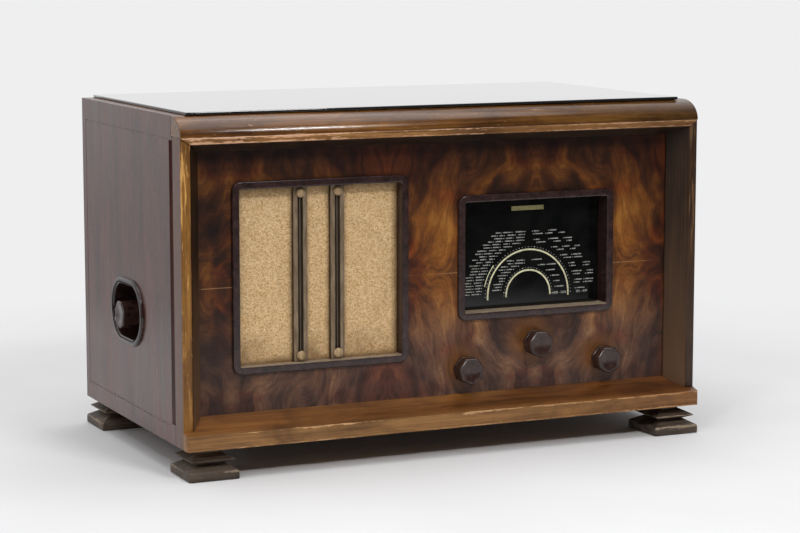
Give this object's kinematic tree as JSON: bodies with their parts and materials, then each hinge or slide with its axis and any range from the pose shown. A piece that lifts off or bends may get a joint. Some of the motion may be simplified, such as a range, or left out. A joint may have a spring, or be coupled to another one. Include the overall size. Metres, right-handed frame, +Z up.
{
  "type": "radio receiver",
  "caption": "Table radio in a wooden case on moulded feet: sunk figured front with cloth loudspeaker opening, black dial and seven-sided knobs, one more in a side cup.",
  "frame": {"origin": "middle of the object's footprint, on the surface that the feet stand on", "axes": "+X to the right seen from the front, +Y from the front to the back, +Z up"},
  "size_m": [0.566, 0.3188, 0.345],
  "materials": {
    "stained_side_wood": "satin",
    "golden_moulding_wood": "satin, worn",
    "dark_bevel_wood": "satin",
    "figured_walnut": "satin lacquer",
    "case_wood": "plain",
    "batten_wood": "sawn",
    "black_top_plate": "gloss",
    "weathered_foot_wood": "matte",
    "hardboard": "pressed",
    "brown_bakelite": "moulded",
    "woven_cloth": "woven",
    "aged_brass": "dull",
    "black_dial_glass": "printed",
    "cream_steel": "matte",
    "bright_brass": "machined",
    "plated_steel": "plated",
    "dark_steel": "enamel",
    "spun_aluminium": "drawn",
    "black_bakelite": "moulded",
    "valve_glass": "clear",
    "cone_paper": "felted",
    "bonded_paper": "laminated",
    "black_rubber": "matte",
    "braided_cord": "braided"
  },
  "bodies": {
    "case": {"side_left": "stained_side_wood", "side_right": "stained_side_wood", "post_left": "golden_moulding_wood", "post_right": "golden_moulding_wood", "top_board": "case_wood", "bottom_board": "case_wood", "case_battens": "batten_wood", "front_panel": "figured_walnut", "top_roll": "golden_moulding_wood", "lip_strip": "golden_moulding_wood", "splay_left": "dark_bevel_wood", "splay_right": "dark_bevel_wood", "splay_top": "dark_bevel_wood", "sill": "golden_moulding_wood", "top_plate": "black_top_plate", "feet": "weathered_foot_wood", "rear_cover": "hardboard", "wood_screws": "bright_brass", "grille_bezel": "brown_bakelite", "grille_cloth": "woven_cloth", "grille_bars": "aged_brass", "bar_studs": "aged_brass", "baffle_board": "batten_wood", "speaker_basket": "dark_steel", "speaker_cone": "cone_paper", "speaker_magnet": "plated_steel", "output_transformer": "dark_steel", "dial_bezel": "brown_bakelite", "dial_glass": "black_dial_glass", "dial_housing": "cream_steel", "dial_lamps": "bright_brass", "side_cup": "brown_bakelite", "chassis": "plated_steel", "chassis_bolts": "plated_steel", "gang_frame": "plated_steel", "gang_stators": "spun_aluminium", "valve_sockets": "bonded_paper", "valve_bases": "black_bakelite", "valve_bulbs": "valve_glass", "coil_cans": "spun_aluminium", "smoothing_can": "spun_aluminium", "mains_transformer": "dark_steel", "control_bodies": "plated_steel", "tuning_bush": "bright_brass", "range_switch": "bonded_paper", "rear_sockets": "bonded_paper", "mains_gland": "black_rubber", "tag_board": "bonded_paper", "drive_cord": "braided_cord"},
    "volume": {"volume_knob": "brown_bakelite", "volume_shaft": "plated_steel"},
    "tone": {"tone_knob": "brown_bakelite", "tone_shaft": "plated_steel"},
    "tuning": {"tuning_knob": "brown_bakelite", "tuning_spindle": "plated_steel"},
    "tuner": {"tuning_rotor": "spun_aluminium", "drive_drum": "bright_brass", "pointer": "cream_steel"},
    "range": {"range_knob": "brown_bakelite", "range_shaft": "plated_steel"}
  },
  "joints": [
    {"name": "volume_turn", "type": "hinge", "parent": "case", "child": "volume", "pos_m": [0.0314, -0.1251, 0.0799], "axis": [0, 1, 0], "range_deg": [0, 280]},
    {"name": "tone_turn", "type": "hinge", "parent": "case", "child": "tone", "pos_m": [0.188, -0.1251, 0.0799], "axis": [0, 1, 0], "range_deg": [0, 270]},
    {"name": "tuner_turn", "type": "hinge", "parent": "case", "child": "tuner", "pos_m": [0.1097, -0.0816, 0.1482], "axis": [0, 1, 0], "range_deg": [0, 178]},
    {"name": "tuning_turn", "type": "hinge", "parent": "case", "child": "tuning", "pos_m": [0.1097, -0.1251, 0.1016], "axis": [0, 1, 0], "range_deg": [-5, 1430]},
    {"name": "range_turn", "type": "hinge", "parent": "case", "child": "range", "pos_m": [-0.274, 0.0144, 0.136], "axis": [1, 0, 0], "range_deg": [0, 90]}
  ],
  "couplings": [
    {"joint": "tuning_turn", "follows": "tuner_turn", "ratio": 8}
  ]
}
